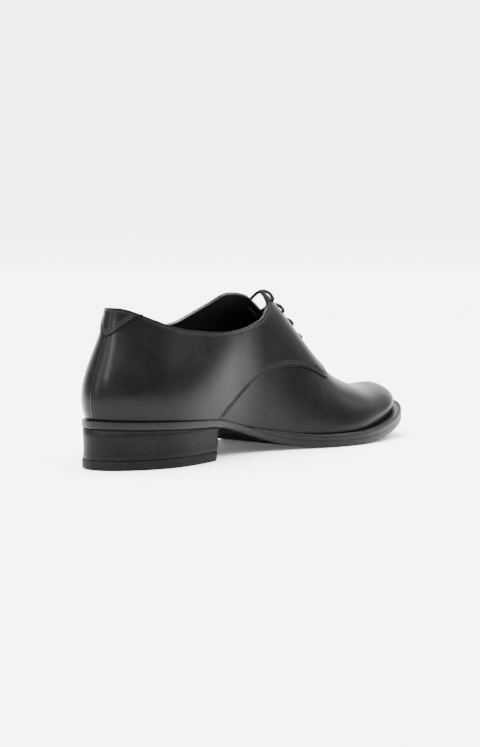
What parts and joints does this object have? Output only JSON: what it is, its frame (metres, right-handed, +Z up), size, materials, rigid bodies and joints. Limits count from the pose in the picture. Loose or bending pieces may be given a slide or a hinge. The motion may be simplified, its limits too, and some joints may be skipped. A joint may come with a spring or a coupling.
{
  "type": "derby shoe",
  "caption": "Plain-toe derby shoe in smooth leather for the left foot, with open lacing over a tongue, a stitched welt, a leather sole and a stacked heel.",
  "frame": {"origin": "middle of the heel's foot, on the floor", "axes": "+X from the heel to the toe, +Y to the shoe's outer side, +Z up"},
  "size_m": [0.3, 0.1034, 0.1093],
  "materials": {
    "calf": "smooth, semi-gloss",
    "edge": "waxed, satin",
    "rubber": "matt",
    "lining": "matt",
    "lace": "waxed braid"
  },
  "bodies": {
    "root": {"outsole": "edge", "welt": "edge", "heel_stack": "edge", "top_lift": "rubber", "insole": "lining", "upper": "calf", "heel_tab": "calf", "tongue": "calf", "lace_bar_1": "lace", "lace_bar_2": "lace", "lace_bar_3": "lace", "lace_bar_4": "lace"}
  },
  "joints": []
}
